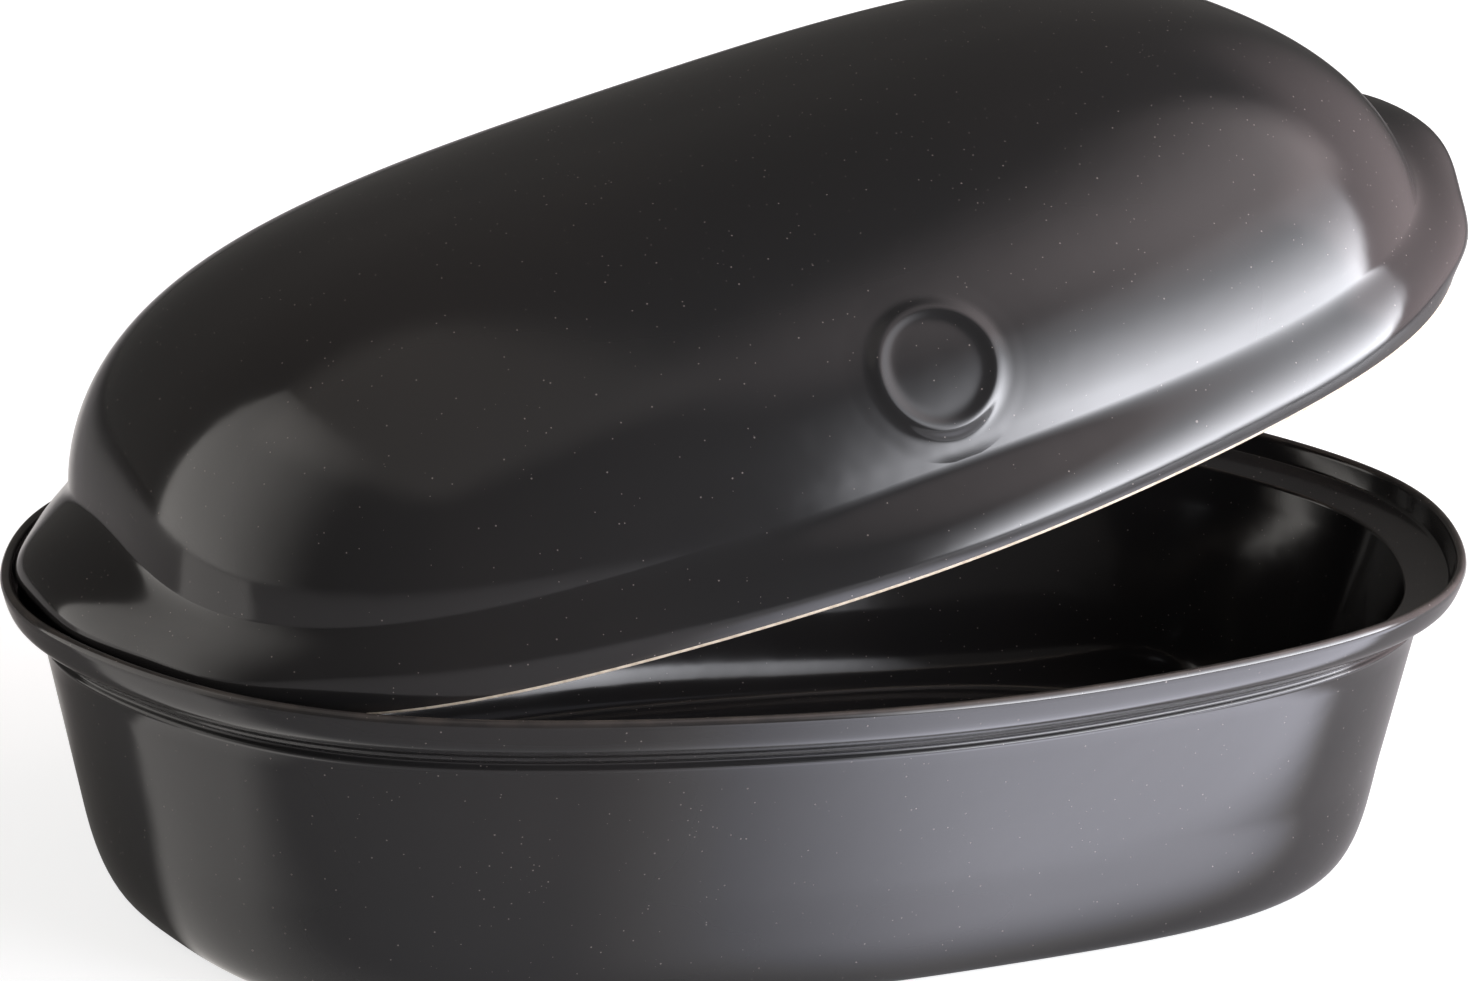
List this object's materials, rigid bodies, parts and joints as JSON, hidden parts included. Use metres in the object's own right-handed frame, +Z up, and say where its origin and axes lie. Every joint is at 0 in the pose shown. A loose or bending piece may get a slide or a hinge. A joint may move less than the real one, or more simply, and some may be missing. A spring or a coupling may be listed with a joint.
{
  "type": "ceramic bread baker",
  "caption": "Oval stoneware bread baker with a lipped dish and a tall domed lid, shown with the lid tilted open.",
  "frame": {"origin": "on the surface that the dish stands on, under the middle of the dish", "axes": "+X along the long axis towards the raised end of the lid, +Y across, away from the front, +Z up"},
  "size_m": [0.34, 0.223, 0.1955],
  "materials": {
    "dish_glaze": "gloss charcoal glaze with fine pale specks",
    "lid_glaze": "gloss charcoal glaze with fine pale specks"
  },
  "bodies": {
    "dish": {"base_dish": "dish_glaze"},
    "lid": {"lid_dome": "lid_glaze"}
  },
  "joints": [
    {"name": "lid_tilt", "type": "hinge", "parent": "dish", "child": "lid", "pos_m": [-0.1293, 0, 0.0903], "axis": [0, -1, 0], "range_deg": [-15.2, 8]}
  ]
}
